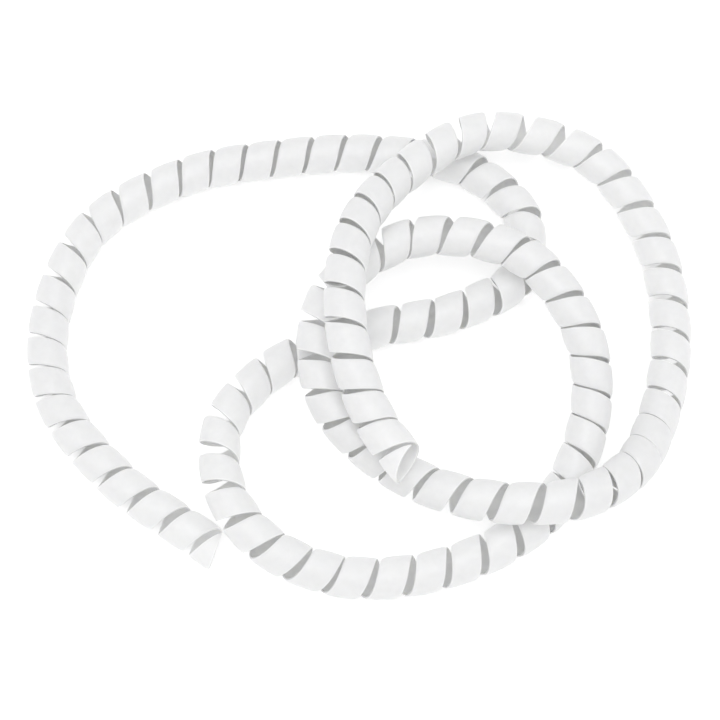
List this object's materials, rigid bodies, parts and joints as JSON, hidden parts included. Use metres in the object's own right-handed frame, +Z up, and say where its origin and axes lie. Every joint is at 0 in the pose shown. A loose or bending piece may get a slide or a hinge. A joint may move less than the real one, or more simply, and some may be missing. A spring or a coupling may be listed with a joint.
{
  "type": "spiral cable wrap",
  "caption": "Flexible white plastic helical band that winds round a bundle of cables, lying as a loose tangle with crossing loops and two plain cut ends.",
  "frame": {"origin": "centre of the tangle's footprint, on the surface it lies on", "axes": "+X along the tangle's longest side, +Z up from the surface, the shortest extent"},
  "size_m": [0.362, 0.272, 0.0708],
  "materials": {
    "white_plastic": "satin, slightly translucent white polyethylene"
  },
  "bodies": {
    "root": {"spiral_wrap": "white_plastic"}
  },
  "joints": []
}
